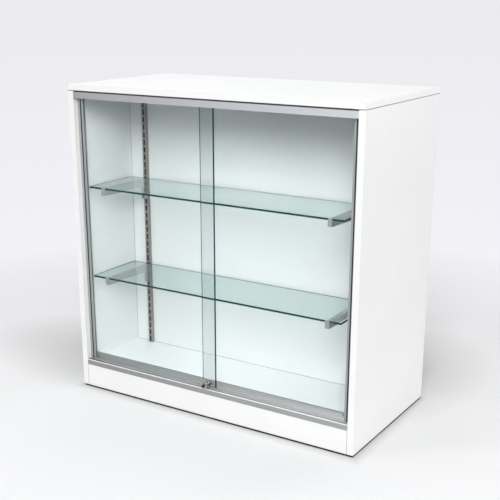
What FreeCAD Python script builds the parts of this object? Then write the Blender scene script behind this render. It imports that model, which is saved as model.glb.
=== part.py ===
# Glass display counter. A white laminated cabinet on a plinth carries two sliding
# glass doors on the customer side and two glass shelves on slotted standards.
# Lengths are in millimetres: X across, Y from the customer side to the back, Z up.
import FreeCAD, Part
import os
import re

import Sketcher
from FreeCAD import Placement, Rotation, Vector

# Sizes that can be set. Each becomes a named cell of the sheet.
SIZES = {
    # Cabinet boards
    "cabinet_width": 900.0,
    "carcass_depth": 450.0,
    "cabinet_height": 890.0,
    "side_thick": 18.0,
    "top_thick": 16.0,
    "deck_thick": 18.0,
    "kick_thick": 18.0,
    "back_thick": 16.0,
    "deck_top": 80.0,
    "kick_top": 70.5,
    "foot_height": 4.5,
    "foot_radius": 8.0,
    "foot_pin_radius": 1.2,
    "foot_pin_length": 10.0,
    "foot_inset": 25.0,
    # Dowels and cam fittings
    "dowel_radius": 4.0,
    "dowel_length": 30.0,
    "dowel_bite": 10.0,
    "cam_radius": 7.5,
    "cam_depth": 12.5,
    "cam_backset": 34.0,
    "cam_bolt_radius": 3.0,
    "cam_bolt_bite": 11.0,
    "cam_slot_width": 1.6,
    "cam_slot_depth": 2.0,
    # Track profiles
    "profile_wall": 1.5,
    "track_setback": 0.5,
    "groove_front": 19.2,
    "groove_width": 7.5,
    "rib_width": 4.3,
    "rib_blade": 1.8,
    "rib_rise": 21.0,
    "step_rise": 6.0,
    "ledge_rise": 6.5,
    "flange_gap": 1.0,
    "fascia_height": 17.0,
    "reveal_height": 3.5,
    "reveal_depth": 6.5,
    "lip_chamfer": 1.2,
    # Jamb profiles
    "jamb_front": 16.5,
    "jamb_cover": 18.0,
    "jamb_cover_thick": 2.0,
    "jamb_leg": 7.0,
    "jamb_gap": 0.5,
    "insert_near": 8.0,
    "insert_far": 12.5,
    "insert_depth": 1.2,
    "middle_leg_front": 27.5,
    # Doors
    "glass_thick": 5.0,
    "door_end_gap": 2.5,
    "door_overlap": 49.0,
    "door_middle": -8.4,
    "door_head_gap": 8.0,
    "slide_base": 1.5,
    "slide_height": 4.5,
    "slide_length": 40.0,
    "slide_inset": 60.0,
    "running_gap": 0.3,
    "guide_cap": 2.0,
    "guide_height": 6.0,
    "guide_length": 25.0,
    "bumper_thick": 0.8,
    "bumper_width": 5.0,
    "bumper_height": 20.0,
    # Lock
    "lock_proud": 7.0,
    "lock_inset": 24.0,
    "lock_lift": 1.0,
    "head_radius": 9.0,
    "head_length": 9.1,
    "neck_radius": 6.0,
    "neck_clearance": 0.5,
    "collar_radius": 7.5,
    "collar_thick": 1.5,
    "front_washer_thick": 0.75,
    "rear_washer_thick": 0.75,
    "nut_thick": 2.0,
    "nut_corner_radius": 9.2,
    "plug_radius": 5.0,
    "plug_length": 16.0,
    "push_stroke": 3.2,
    "pushed_recess": 0.3,
    "turning_gap": 0.05,
    "main_bore_length": 24.0,
    "keyhole_width": 1.8,
    "keyhole_height": 7.0,
    "keyhole_depth": 8.0,
    "bolt_radius": 2.5,
    "bolt_head_radius": 4.9,
    "bolt_head_length": 2.5,
    "bolt_hole_gap": 0.5,
    "bolt_back_gap": 0.3,
    "bolt_tip_gap": 0.7,
    # Standards
    "standard_inset": 72.0,
    "rack_middle": -14.0,
    "standard_width": 15.0,
    "standard_depth": 10.0,
    "slot_width": 3.6,
    "slot_height": 14.0,
    "slot_spacing": 22.0,
    "first_slot_rise": 5.0,
    "standard_head_gap": 20.0,
    # Brackets
    "bracket_width": 12.0,
    "bracket_wall": 2.0,
    "tip_gap": 0.5,
    "lip_thick": 2.6,
    "lip_above": 1.5,
    "tip_drop": 15.0,
    "root_drop": 22.0,
    "plate_depth": 12.0,
    "plate_drop": 56.0,
    "plate_wall": 3.0,
    "hook_width": 3.0,
    "hook_height": 4.5,
    "hook_reach": 5.0,
    "hook_gap": 0.5,
    "tongue_drop": 5.0,
    "upper_hook_drop": 6.0,
    # Shelves
    "shelf_left_gap": 6.0,
    "shelf_right_gap": 48.0,
    "shelf_depth": 190.0,
    "shelf_gap": 0.4,
    "shelf_back_gap": 1.5,
    "pad_thick": 1.0,
    "pad_side": 10.0,
    "pad_inset": 16.0,
    # Countersunk screws
    "screw_head_radius": 3.4,
    "screw_head_height": 1.9,
    "screw_shank_radius": 1.75,
    "screw_sink": 0.1,
    "short_screw_length": 13.0,
    "long_screw_length": 22.0,
    "socket_radius": 1.3,
    "socket_depth": 1.2,
}

# Plain counts, and shares of the row of slots at which the brackets hook in.
COUNTS = {
    "hook_slot_step": 2,
    "lower_hook_share": 0.26,
    "upper_hook_share": 0.6,
}

# Values that follow from the sizes.
DERIVED = {
    "front_plane": "(lock_proud - carcass_depth) / 2",
    "half_width": "cabinet_width / 2",
    "half_inside": "half_width - side_thick",
    "under_top": "cabinet_height - top_thick",
    "deck_low": "deck_top - deck_thick",
    "side_middle": "half_width - side_thick / 2",
    # Tracks
    "rib_front": "groove_front + groove_width",
    "rear_groove": "rib_front + rib_width",
    "rear_wall": "rear_groove + groove_width",
    "track_rear": "rear_wall + profile_wall",
    "track_floor": "deck_top + profile_wall",
    "ledge_top": "deck_top + ledge_rise",
    "step_top": "deck_top + step_rise",
    "rib_top": "deck_top + rib_rise",
    "fascia_top": "under_top - reveal_height",
    "fascia_low": "fascia_top - fascia_height",
    "web_low": "under_top - profile_wall",
    "reveal_back": "track_setback + reveal_depth",
    "front_web_middle": "(reveal_back + groove_front) / 2",
    "front_lane": "groove_front + groove_width / 2",
    "rear_lane": "rear_groove + groove_width / 2",
    # Jambs
    "jamb_low": "rib_top + jamb_gap",
    "jamb_high": "fascia_low - jamb_gap",
    "cover_back": "jamb_front + jamb_cover_thick",
    # Doors
    "door_reach": "half_inside - door_end_gap",
    "left_door_end": "door_middle + door_overlap / 2",
    "right_door_end": "door_middle - door_overlap / 2",
    "left_door_travel": "door_reach - left_door_end",
    "door_low": "track_floor + slide_base",
    "door_high": "under_top - profile_wall - door_head_gap",
    "slide_width": "groove_width - 2 * running_gap",
    "front_glass": "front_lane - glass_thick / 2",
    "front_glass_back": "front_lane + glass_thick / 2",
    "rear_glass": "rear_lane - glass_thick / 2",
    # Lock
    "lock_across": "left_door_end - lock_inset",
    "lock_up": "ledge_top + head_radius + lock_lift",
    "neck_end": "front_glass_back + rear_washer_thick + nut_thick",
    "head_front": "push_stroke - pushed_recess - lock_proud",
    "bolt_back": "plug_length + bolt_back_gap - lock_proud",
    "bolt_tip": "neck_end - bolt_tip_gap",
    "bolt_hole_radius": "bolt_radius + bolt_hole_gap",
    # Standards, brackets and shelves
    "standard_offset": "half_inside - standard_inset",
    "standard_ends": "slot_height + 2 * first_slot_rise",
    "standard_room": "under_top - deck_top - standard_head_gap",
    "slot_count": "floor((standard_room - standard_ends) / slot_spacing) + 1",
    "lower_hook_slot": "round(slot_count * lower_hook_share)",
    "upper_hook_slot": "round(slot_count * upper_hook_share)",
    "standard_height": "slot_spacing * (slot_count - 1) + standard_ends",
    "first_slot": "deck_top + first_slot_rise",
    "hook_spacing": "slot_spacing * hook_slot_step",
    "lower_arm": "first_slot + slot_spacing * lower_hook_slot + hook_spacing + upper_hook_drop",
    "upper_arm": "first_slot + slot_spacing * upper_hook_slot + hook_spacing + upper_hook_drop",
    "tip_front": "track_rear + tip_gap",
    "tip_back": "tip_front + lip_thick",
    "shelf_front": "tip_back + shelf_gap",
    "standard_front": "shelf_front + shelf_depth + shelf_back_gap",
    "back_front": "standard_front + standard_depth",
    "lip_rise": "pad_thick + glass_thick + lip_above",
    "tongue_front": "standard_front + profile_wall + hook_gap",
}

# Where repeated fittings stand, as shares of the length that they are spread over.
TOP_DOWEL_SHARES = (0.09, 0.34, 0.66, 0.91)
DECK_DOWEL_SHARES = (0.14, 0.5, 0.86)
BACK_DOWEL_SHARES = (0.2, 0.5, 0.8)
DECK_CAM_SHARES = (0.3, 0.7)
REAR_CAM_SHARE = 0.79
TRACK_SCREW_SHARES = (-0.9, -0.3, 0.3, 0.9)
JAMB_SCREW_SHARES = (0.15, 0.5, 0.85)
BUMPER_SHARES = (0.25, 0.75)
STANDARD_SCREW_SHARES = (0.06, 0.49, 0.92)

RIGHTWARD = Vector(1, 0, 0)
BACKWARD = Vector(0, 1, 0)
UPWARD = Vector(0, 0, 1)
SIDES = {"left": "-1", "right": "1"}

doc = FreeCAD.newDocument("DisplayCounter")
sheet = doc.addObject("Spreadsheet::Sheet", "Sizes")
nodes = {}


def fill_sheet():
    """Write every size, count and derived value to its own named cell."""
    plain = {name: str(number) for name, number in {**SIZES, **COUNTS}.items()}
    formulas = {name: "=" + text for name, text in DERIVED.items()}
    for row, (name, content) in enumerate({**plain, **formulas}.items(), start=1):
        sheet.set(f"A{row}", name)
        sheet.set(f"B{row}", content)
        sheet.setAlias(f"B{row}", name)
    doc.recompute()


def linked(text):
    """Turn the size names of an expression into references to the sheet."""
    return re.sub(r"[a-z][a-z0-9_]*(?![a-z0-9_(])", lambda found: "Sizes." + found.group(0), text)


def value(text):
    """Present value of an expression over the sizes."""
    return float(sheet.evalExpression(linked(text)))


def bind(piece, **texts):
    """Bind properties of a piece to expressions over the sizes."""
    for key, text in texts.items():
        piece.setExpression(key, linked(text))


def place(piece, across, behind, up, heading=UPWARD):
    """Put a piece's own origin at a spot, its own Z turned to the heading."""
    piece.Placement = Placement(Vector(), Rotation(UPWARD, heading))
    piece.setExpression("Placement.Base.x", linked(across))
    piece.setExpression("Placement.Base.y", linked(f"front_plane + ({behind})"))
    piece.setExpression("Placement.Base.z", linked(up))
    return piece


def node(name, piece):
    """Give a finished sub-part its name."""
    piece.Label = name
    nodes[name] = piece
    return piece


def slab(name, across, behind, up):
    """Rectangular block between three pairs of limits."""
    piece = doc.addObject("Part::Box", name)
    bind(
        piece,
        Length=f"{across[1]} - ({across[0]})",
        Width=f"{behind[1]} - ({behind[0]})",
        Height=f"{up[1]} - ({up[0]})",
    )
    return place(piece, across[0], behind[0], up[0])


def rod(name, radius, length, spot, heading=UPWARD):
    """Round bar that starts at a spot and runs along the heading."""
    piece = doc.addObject("Part::Cylinder", name)
    bind(piece, Radius=radius, Height=length)
    return place(piece, *spot, heading)


def hexagon(name, corner_radius, length, spot, heading=UPWARD):
    """Six-sided bar that starts at a spot and runs along the heading."""
    piece = doc.addObject("Part::Prism", name)
    piece.Polygon = 6
    bind(piece, Circumradius=corner_radius, Height=length)
    return place(piece, *spot, heading)


def group(name, pieces):
    """Loose pieces kept together."""
    piece = doc.addObject("Part::Compound", name)
    piece.Links = pieces
    return piece


def fused(name, pieces):
    """Pieces joined into one solid."""
    piece = doc.addObject("Part::MultiFuse", name)
    piece.Shapes = pieces
    piece.Refine = True
    return piece


def carved(name, base, tools):
    """Base with the tools cut away."""
    piece = doc.addObject("Part::Cut", name)
    piece.Base = base
    piece.Tool = tools[0] if len(tools) == 1 else group(name + "_tools", tools)
    return piece


def limits(side, near, far):
    """Two limits across, measured outwards from the middle on one side."""
    if SIDES[side] == "1":
        return near, far
    return f"-({far})", f"-({near})"


def centred(middle, size):
    """Two limits on either side of a middle."""
    return f"{middle} - {size} / 2", f"{middle} + {size} / 2"


def standard_line(side):
    """Middle of the standard on one side, measured across."""
    return f"rack_middle + {SIDES[side]} * standard_offset"


def new_body(name, across="0", behind="0", up="0"):
    """Empty body at a spot."""
    return place(doc.addObject("PartDesign::Body", name), across, behind, up)


def outline(body, name, plane, corners):
    """Closed outline on one of the body's planes, each corner bound to the sizes."""
    sketch = body.newObject("Sketcher::SketchObject", name)
    support = next(item for item in body.Origin.OriginFeatures if item.Role == plane)
    sketch.AttachmentSupport = [(support, "")]
    sketch.MapMode = "FlatFace"
    spots = [Vector(value(first), value(second), 0) for first, second in corners]
    for index, spot in enumerate(spots):
        following = spots[(index + 1) % len(spots)]
        sketch.addGeometry(Part.LineSegment(spot, following), False)
    for index, (first, second) in enumerate(corners):
        following = (index + 1) % len(corners)
        sketch.addConstraint(Sketcher.Constraint("Coincident", index, 2, following, 1))
        for kind, text in (("DistanceX", first), ("DistanceY", second)):
            rule = Sketcher.Constraint(kind, -1, 1, index, 1, value(text))
            number = sketch.addConstraint(rule)
            sketch.setExpression(f"Constraints[{number}]", linked(text))
    return sketch


def extruded(body, name, sketch, length, midplane=False):
    """Pad of a sketch, to one side or evenly to both."""
    pad = body.newObject("PartDesign::Pad", name)
    pad.Profile = sketch
    pad.Midplane = midplane
    bind(pad, Length=length)
    body.Tip = pad
    return pad


def flat_screw(name, spot, heading, length):
    """Countersunk screw, its head at the spot: a plain one, and one with a hexagon socket."""
    head = doc.addObject("Part::Cone", name + "_head")
    bind(
        head,
        Radius1="screw_head_radius",
        Radius2="screw_shank_radius",
        Height="screw_head_height",
    )
    place(head, *spot, heading)
    shank = rod(name + "_shank", "screw_shank_radius", length, spot, heading)
    plain = fused(name + "_plain", [head, shank])
    socket = hexagon(name + "_socket", "socket_radius", "socket_depth", spot, heading)
    return plain, carved(name, plain, [socket])


def screw_set(name, screws):
    """Node of the finished screws; returns the plain ones, which cut their holes."""
    node(name, group(name, [finished for plain, finished in screws]))
    return group(name + "_holes", [plain for plain, finished in screws])


def make_feet():
    """Nylon pads nailed under the side panels and the plinth."""
    rows = ("foot_inset", "carcass_depth / 2", "carcass_depth - foot_inset")
    spots = [(f"{sign} * side_middle", row) for sign in SIDES.values() for row in rows]
    spots += [("0", "kick_thick / 2"), ("0", "carcass_depth - kick_thick / 2")]
    feet = []
    for number, (across, behind) in enumerate(spots):
        spot = (across, behind, "0")
        disc = rod(f"foot_disc_{number}", "foot_radius", "foot_height", spot)
        pin_length = "foot_height + foot_pin_length"
        pin = rod(f"foot_pin_{number}", "foot_pin_radius", pin_length, spot)
        feet.append(fused(f"foot_{number}", [disc, pin]))
    return node("floor_glides", group("floor_glides", feet))


def make_dowels():
    """Beech dowels between the side panels and the other boards."""
    deck_line = "deck_top - deck_thick / 2"
    back_line = "back_front + back_thick / 2"
    lines = [("kick_thick / 2", "kick_top / 2"), ("carcass_depth - kick_thick / 2", "deck_low / 2")]
    lines += [(f"carcass_depth * {share}", deck_line) for share in DECK_DOWEL_SHARES]
    lines += [(back_line, f"cabinet_height * {share}") for share in BACK_DOWEL_SHARES]
    dowels = []
    for side, sign in SIDES.items():
        outward = RIGHTWARD * int(sign)
        for number, share in enumerate(TOP_DOWEL_SHARES):
            low = "under_top + dowel_bite - dowel_length"
            spot = (f"{sign} * side_middle", f"carcass_depth * {share}", low)
            name = f"{side}_top_dowel_{number}"
            dowels.append(rod(name, "dowel_radius", "dowel_length", spot))
        for number, (behind, up) in enumerate(lines):
            start = f"{sign} * (half_inside + dowel_bite - dowel_length)"
            spot = (start, behind, up)
            name = f"{side}_side_dowel_{number}"
            dowels.append(rod(name, "dowel_radius", "dowel_length", spot, outward))
    return node("carcass_dowels", group("carcass_dowels", dowels))


def make_cam(name, across, behind):
    """Cam disc let into the deck from below, with a driver slot."""
    disc = rod(name + "_disc", "cam_radius", "cam_depth", (across, behind, "deck_low"))
    slot_floor = "deck_low + cam_slot_depth"
    slot_ends = (f"{behind} - cam_radius", f"{behind} + cam_radius")
    slot = slab(name + "_slot", centred(across, "cam_slot_width"), slot_ends, ("deck_low", slot_floor))
    return disc, carved(name, disc, [slot])


def make_rear_cam(name, side, behind):
    """Cam disc let into a side panel from the staff bay, with a driver slot."""
    up = "under_top - cam_backset"
    start = (f"{SIDES[side]} * half_inside", behind, up)
    disc = rod(name + "_disc", "cam_radius", "cam_depth", start, RIGHTWARD * int(SIDES[side]))
    slot_depths = limits(side, "half_inside", "half_inside + cam_slot_depth")
    slot_ends = (f"{up} - cam_radius", f"{up} + cam_radius")
    slot = slab(name + "_slot", slot_depths, centred(behind, "cam_slot_width"), slot_ends)
    return disc, carved(name, disc, [slot])


def make_cams():
    """Cam discs and their bolts, and the round pockets for the discs."""
    pockets, discs, bolts = [], [], []
    for side, sign in SIDES.items():
        for number, share in enumerate(DECK_CAM_SHARES):
            behind = f"carcass_depth * {share}"
            across = f"{sign} * (half_inside - cam_backset)"
            pocket, disc = make_cam(f"{side}_cam_{number}", across, behind)
            pockets.append(pocket)
            discs.append(disc)
            start = f"{sign} * (half_inside - cam_backset + cam_radius)"
            spot = (start, behind, "deck_top - deck_thick / 2")
            length = "cam_backset - cam_radius + cam_bolt_bite"
            name = f"{side}_cam_bolt_{number}"
            outward = RIGHTWARD * int(sign)
            bolts.append(rod(name, "cam_bolt_radius", length, spot, outward))
        behind = f"carcass_depth * {REAR_CAM_SHARE}"
        pocket, disc = make_rear_cam(f"{side}_rear_cam", side, behind)
        pockets.append(pocket)
        discs.append(disc)
        spot = (f"{sign} * side_middle", behind, "under_top - cam_backset + cam_radius")
        length = "cam_backset - cam_radius + cam_bolt_bite"
        bolts.append(rod(f"{side}_rear_cam_bolt", "cam_bolt_radius", length, spot))
    node("cam_discs", group("cam_discs", discs))
    node("cam_bolts", group("cam_bolts", bolts))
    return group("cam_pockets", pockets), nodes["cam_bolts"]


def make_track_screws():
    """Screws up through the top track and down through the bottom track."""
    screws = []
    for number, share in enumerate(TRACK_SCREW_SHARES):
        across = f"half_inside * {share}"
        upper = (across, "front_web_middle", "web_low + screw_sink")
        lower = (across, "rear_lane", "track_floor - screw_sink")
        length = "short_screw_length"
        screws.append(flat_screw(f"upper_track_screw_{number}", upper, UPWARD, length))
        screws.append(flat_screw(f"lower_track_screw_{number}", lower, -UPWARD, length))
    return screw_set("track_screws", screws)


def make_jamb_screws():
    """Screws through the jamb webs into the side panels."""
    screws = []
    for side, sign in SIDES.items():
        for number, share in enumerate(JAMB_SCREW_SHARES):
            start = f"{sign} * (half_inside - profile_wall + screw_sink)"
            spot = (start, "rear_lane", f"jamb_low + (jamb_high - jamb_low) * {share}")
            heading = RIGHTWARD * int(sign)
            name = f"{side}_jamb_screw_{number}"
            screws.append(flat_screw(name, spot, heading, "short_screw_length"))
    return screw_set("jamb_screws", screws)


def make_standard_screws():
    """Screws through the lands between the slots into the back panel."""
    screws = []
    for side in SIDES:
        for number, share in enumerate(STANDARD_SCREW_SHARES):
            slot = f"round(slot_count * {share})"
            land = f"first_slot + slot_spacing * {slot} + (slot_spacing + slot_height) / 2"
            spot = (standard_line(side), "standard_front + screw_sink", land)
            name = f"{side}_standard_screw_{number}"
            screws.append(flat_screw(name, spot, BACKWARD, "long_screw_length"))
    return screw_set("standard_screws", screws)


def make_boards(feet, dowels, cam_pockets, cam_bolts, track_screws, jamb_screws, standard_screws):
    """Laminated boards of the cabinet, drilled for everything that enters them."""
    wide = ("-half_width", "half_width")
    inner = ("-half_inside", "half_inside")
    deep = ("0", "carcass_depth")
    top = slab("top_blank", wide, deep, ("under_top", "cabinet_height"))
    node("top_panel", carved("top_panel", top, [dowels, cam_bolts, track_screws]))
    for side in SIDES:
        across = limits(side, "half_inside", "half_width")
        blank = slab(side + "_side_blank", across, deep, ("foot_height", "under_top"))
        tools = [dowels, cam_pockets, cam_bolts, feet, jamb_screws]
        name = side + "_side_panel"
        node(name, carved(name, blank, tools))
    deck = slab("deck_blank", inner, ("kick_thick", "carcass_depth"), ("deck_low", "deck_top"))
    deck_tools = [dowels, cam_pockets, cam_bolts, track_screws]
    node("deck_panel", carved("deck_panel", deck, deck_tools))
    back_span = ("back_front", "back_front + back_thick")
    back = slab("back_blank", inner, back_span, ("deck_top", "under_top"))
    node("back_panel", carved("back_panel", back, [dowels, standard_screws]))
    front = slab("front_kick_blank", inner, ("0", "kick_thick"), ("foot_height", "kick_top"))
    node("front_kick_plate", carved("front_kick_plate", front, [dowels, feet]))
    rear_span = ("carcass_depth - kick_thick", "carcass_depth")
    rear = slab("rear_kick_blank", inner, rear_span, ("foot_height", "deck_low"))
    node("rear_kick_plate", carved("rear_kick_plate", rear, [dowels, feet]))


def make_top_track(track_screws):
    """Extruded double track under the top panel, with a fascia in front."""
    fascia_back = "track_setback + profile_wall"
    corners = [
        ("track_setback", "fascia_low"),
        ("track_setback", "fascia_top"),
        ("reveal_back", "fascia_top"),
        ("reveal_back", "under_top"),
        ("track_rear", "under_top"),
        ("track_rear", "fascia_low"),
        ("rear_wall", "fascia_low"),
        ("rear_wall", "web_low"),
        ("rear_groove", "web_low"),
        ("rear_groove", "fascia_low"),
        ("rear_groove - profile_wall", "fascia_low"),
        ("rear_groove - profile_wall", "web_low"),
        ("rib_front + profile_wall", "web_low"),
        ("rib_front + profile_wall", "fascia_low"),
        ("rib_front", "fascia_low"),
        ("rib_front", "web_low"),
        ("groove_front", "web_low"),
        ("groove_front", "fascia_low"),
        ("groove_front - profile_wall", "fascia_low"),
        ("groove_front - profile_wall", "web_low"),
        ("reveal_back + profile_wall", "web_low"),
        ("reveal_back + profile_wall", "fascia_top - profile_wall"),
        (fascia_back, "fascia_top - profile_wall"),
        (fascia_back, "fascia_low"),
    ]
    body = new_body("top_track_body")
    sketch = outline(body, "top_track_outline", "YZ_Plane", corners)
    extruded(body, "top_track_length", sketch, "2 * half_inside", midplane=True)
    return node("top_track", carved("top_track", body, [track_screws]))


def make_bottom_track(track_screws):
    """Extruded double track on the deck, with a nose over the plinth."""
    nose_back = "groove_front - profile_wall"
    flange_end = "kick_thick - flange_gap"
    blade_front = "rear_groove - rib_blade"
    corners = [
        ("track_setback", "kick_top"),
        (flange_end, "kick_top"),
        (flange_end, "kick_top + profile_wall"),
        ("track_setback + profile_wall", "kick_top + profile_wall"),
        ("track_setback + profile_wall", "ledge_top - profile_wall"),
        (nose_back, "ledge_top - profile_wall"),
        (nose_back, "deck_top"),
        ("track_rear", "deck_top"),
        ("track_rear", "rib_top"),
        ("rear_wall", "rib_top"),
        ("rear_wall", "track_floor"),
        ("rear_groove", "track_floor"),
        ("rear_groove", "rib_top"),
        (blade_front, "rib_top"),
        (blade_front, "step_top"),
        ("rib_front", "step_top"),
        ("rib_front", "track_floor"),
        ("groove_front", "track_floor"),
        ("groove_front", "ledge_top"),
        ("track_setback + lip_chamfer", "ledge_top"),
        ("track_setback", "ledge_top - lip_chamfer"),
    ]
    body = new_body("bottom_track_body")
    sketch = outline(body, "bottom_track_outline", "YZ_Plane", corners)
    extruded(body, "bottom_track_length", sketch, "2 * half_inside", midplane=True)
    tools = [track_screws]
    for name, across in (("shut", "lock_across"), ("open", "lock_across + left_door_travel")):
        spot = (across, "rib_front", "lock_up")
        tools.append(rod(f"{name}_bolt_hole", "bolt_hole_radius", "rib_width", spot, BACKWARD))
    return node("bottom_track", carved("bottom_track", body, tools))


def make_jamb(side, jamb_screws):
    """Extruded jamb with two door channels and a wide cover in front."""

    def inwards(distance):
        return f"{SIDES[side]} * (half_inside - {distance})"

    middle_leg_back = "middle_leg_front + profile_wall"
    corners = [
        (f"{SIDES[side]} * half_inside", "jamb_front"),
        (inwards("insert_near"), "jamb_front"),
        (inwards("insert_near"), "jamb_front + insert_depth"),
        (inwards("insert_far"), "jamb_front + insert_depth"),
        (inwards("insert_far"), "jamb_front"),
        (inwards("jamb_cover"), "jamb_front"),
        (inwards("jamb_cover"), "cover_back"),
        (inwards("profile_wall"), "cover_back"),
        (inwards("profile_wall"), "middle_leg_front"),
        (inwards("jamb_leg"), "middle_leg_front"),
        (inwards("jamb_leg"), middle_leg_back),
        (inwards("profile_wall"), middle_leg_back),
        (inwards("profile_wall"), "rear_wall"),
        (inwards("jamb_leg"), "rear_wall"),
        (inwards("jamb_leg"), "track_rear"),
        (f"{SIDES[side]} * half_inside", "track_rear"),
    ]
    body = new_body(side + "_jamb_body", up="ledge_top")
    sketch = outline(body, side + "_jamb_outline", "XY_Plane", corners)
    extruded(body, side + "_jamb_length", sketch, "jamb_high - ledge_top")
    across = limits(side, "half_inside - jamb_cover", "half_inside")
    step = slab(side + "_jamb_step", across, ("cover_back", "track_rear"), ("ledge_top", "jamb_low"))
    node(side + "_jamb", carved(side + "_jamb", body, [step, jamb_screws]))
    across = limits(side, "half_inside - insert_far", "half_inside - insert_near")
    behind = ("jamb_front", "jamb_front + insert_depth")
    name = side + "_jamb_insert"
    node(name, slab(name, across, behind, ("ledge_top", "jamb_high")))


def make_bumpers():
    """Soft pads on the jamb webs that stop the doors."""
    bumpers = []
    for side in SIDES:
        far = "half_inside - profile_wall"
        across = limits(side, f"{far} - bumper_thick", far)
        for lane in ("front_lane", "rear_lane"):
            for number, share in enumerate(BUMPER_SHARES):
                middle = f"jamb_low + (jamb_high - jamb_low) * {share}"
                name = f"{side}_{lane}_bumper_{number}"
                behind = centred(lane, "bumper_width")
                bumpers.append(slab(name, across, behind, centred(middle, "bumper_height")))
    return node("door_bumpers", group("door_bumpers", bumpers))


def make_clip(name, middle, lane, length, up, slot_up):
    """Clip of U section pressed on a glass edge."""
    outer = slab(name + "_outer", centred(middle, length), centred(lane, "slide_width"), up)
    slot = slab(name + "_slot", centred(middle, length), centred(lane, "glass_thick"), slot_up)
    return carved(name, outer, [slot])


def make_door(side, across, lane):
    """Sheet of glass with slides under it and guides on top; returns the plain sheet."""
    sheet_name = side + "_door_blank"
    glass = slab(sheet_name, across, centred(lane, "glass_thick"), ("door_low", "door_high"))
    middles = (f"{across[0]} + slide_inset", f"{across[1]} - slide_inset")
    slide_top = "track_floor + slide_height"
    guide_top = "door_high + guide_cap"
    guide_low = "door_high + guide_cap - guide_height"
    slides, guides = [], []
    for number, middle in enumerate(middles):
        name = f"{side}_slide_{number}"
        up = ("track_floor", slide_top)
        slot_up = ("door_low", slide_top)
        slides.append(make_clip(name, middle, lane, "slide_length", up, slot_up))
        name = f"{side}_guide_{number}"
        up = (guide_low, guide_top)
        slot_up = (guide_low, "door_high")
        guides.append(make_clip(name, middle, lane, "guide_length", up, slot_up))
    node(side + "_door_glides", group(side + "_door_glides", slides))
    node(side + "_door_guides", group(side + "_door_guides", guides))
    return glass


def lock_rod(name, radius, start, end):
    """Round part of the lock between two distances behind the front plane."""
    spot = ("lock_across", start, "lock_up")
    return rod(name, radius, f"{end} - ({start})", spot, BACKWARD)


def make_lock_case():
    """Lock barrel, clamped to the glass by a collar, washers and a nut."""
    head_back = "head_front + head_length"
    washer_front = "front_glass - front_washer_thick"
    collar_front = f"{washer_front} - collar_thick"
    head = lock_rod("lock_head", "head_radius", "head_front", head_back)
    neck = lock_rod("lock_neck", "neck_radius", head_back, "neck_end")
    collar = lock_rod("lock_collar", "collar_radius", collar_front, washer_front)
    case = fused("lock_case", [head, neck, collar])
    bore_end = "main_bore_length - lock_proud"
    bore = lock_rod("lock_bore", "plug_radius + turning_gap", "-lock_proud", bore_end)
    bolt_bore = lock_rod("bolt_bore", "bolt_radius + turning_gap", "-lock_proud", "neck_end")
    node("lock_barrel", carved("lock_barrel", case, [bore, bolt_bore]))
    washer_back = "front_glass_back + rear_washer_thick"
    front = lock_rod("front_washer_disc", "collar_radius", washer_front, "front_glass")
    rear = lock_rod("rear_washer_disc", "collar_radius", "front_glass_back", washer_back)
    washers = [carved("front_washer", front, [neck]), carved("rear_washer", rear, [neck])]
    node("lock_washers", group("lock_washers", washers))
    spot = ("lock_across", washer_back, "lock_up")
    nut = hexagon("nut_blank", "nut_corner_radius", "nut_thick", spot, BACKWARD)
    node("lock_nut", carved("lock_nut", nut, [neck]))


def make_lock_plug():
    """Plug that is pressed in to lock and turned with the key to free it."""
    plug = lock_rod("plug_blank", "plug_radius", "-lock_proud", "plug_length - lock_proud")
    across = centred("lock_across", "keyhole_width")
    behind = ("-lock_proud", "keyhole_depth - lock_proud")
    keyhole = slab("keyhole", across, behind, centred("lock_up", "keyhole_height"))
    return node("lock_plug", carved("lock_plug", plug, [keyhole]))


def make_lock_bolt():
    """Round bolt that the plug pushes into the rib of the track."""
    head = lock_rod("bolt_head", "bolt_head_radius", "bolt_back", "bolt_back + bolt_head_length")
    shank = lock_rod("bolt_shank", "bolt_radius", "bolt_back", "bolt_tip")
    return node("lock_bolt", fused("lock_bolt", [head, shank]))


def make_doors():
    """Front door on the left with the lock, rear door on the right."""
    left = make_door("left", ("-door_reach", "left_door_end"), "front_lane")
    right = make_door("right", ("right_door_end", "door_reach"), "rear_lane")
    hole_radius = "neck_radius + neck_clearance"
    hole = lock_rod("lock_hole", hole_radius, "front_glass", "front_glass_back")
    node("left_door_glass", carved("left_door_glass", left, [hole]))
    node("right_door_glass", right)
    make_lock_case()
    make_lock_plug()
    make_lock_bolt()


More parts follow.
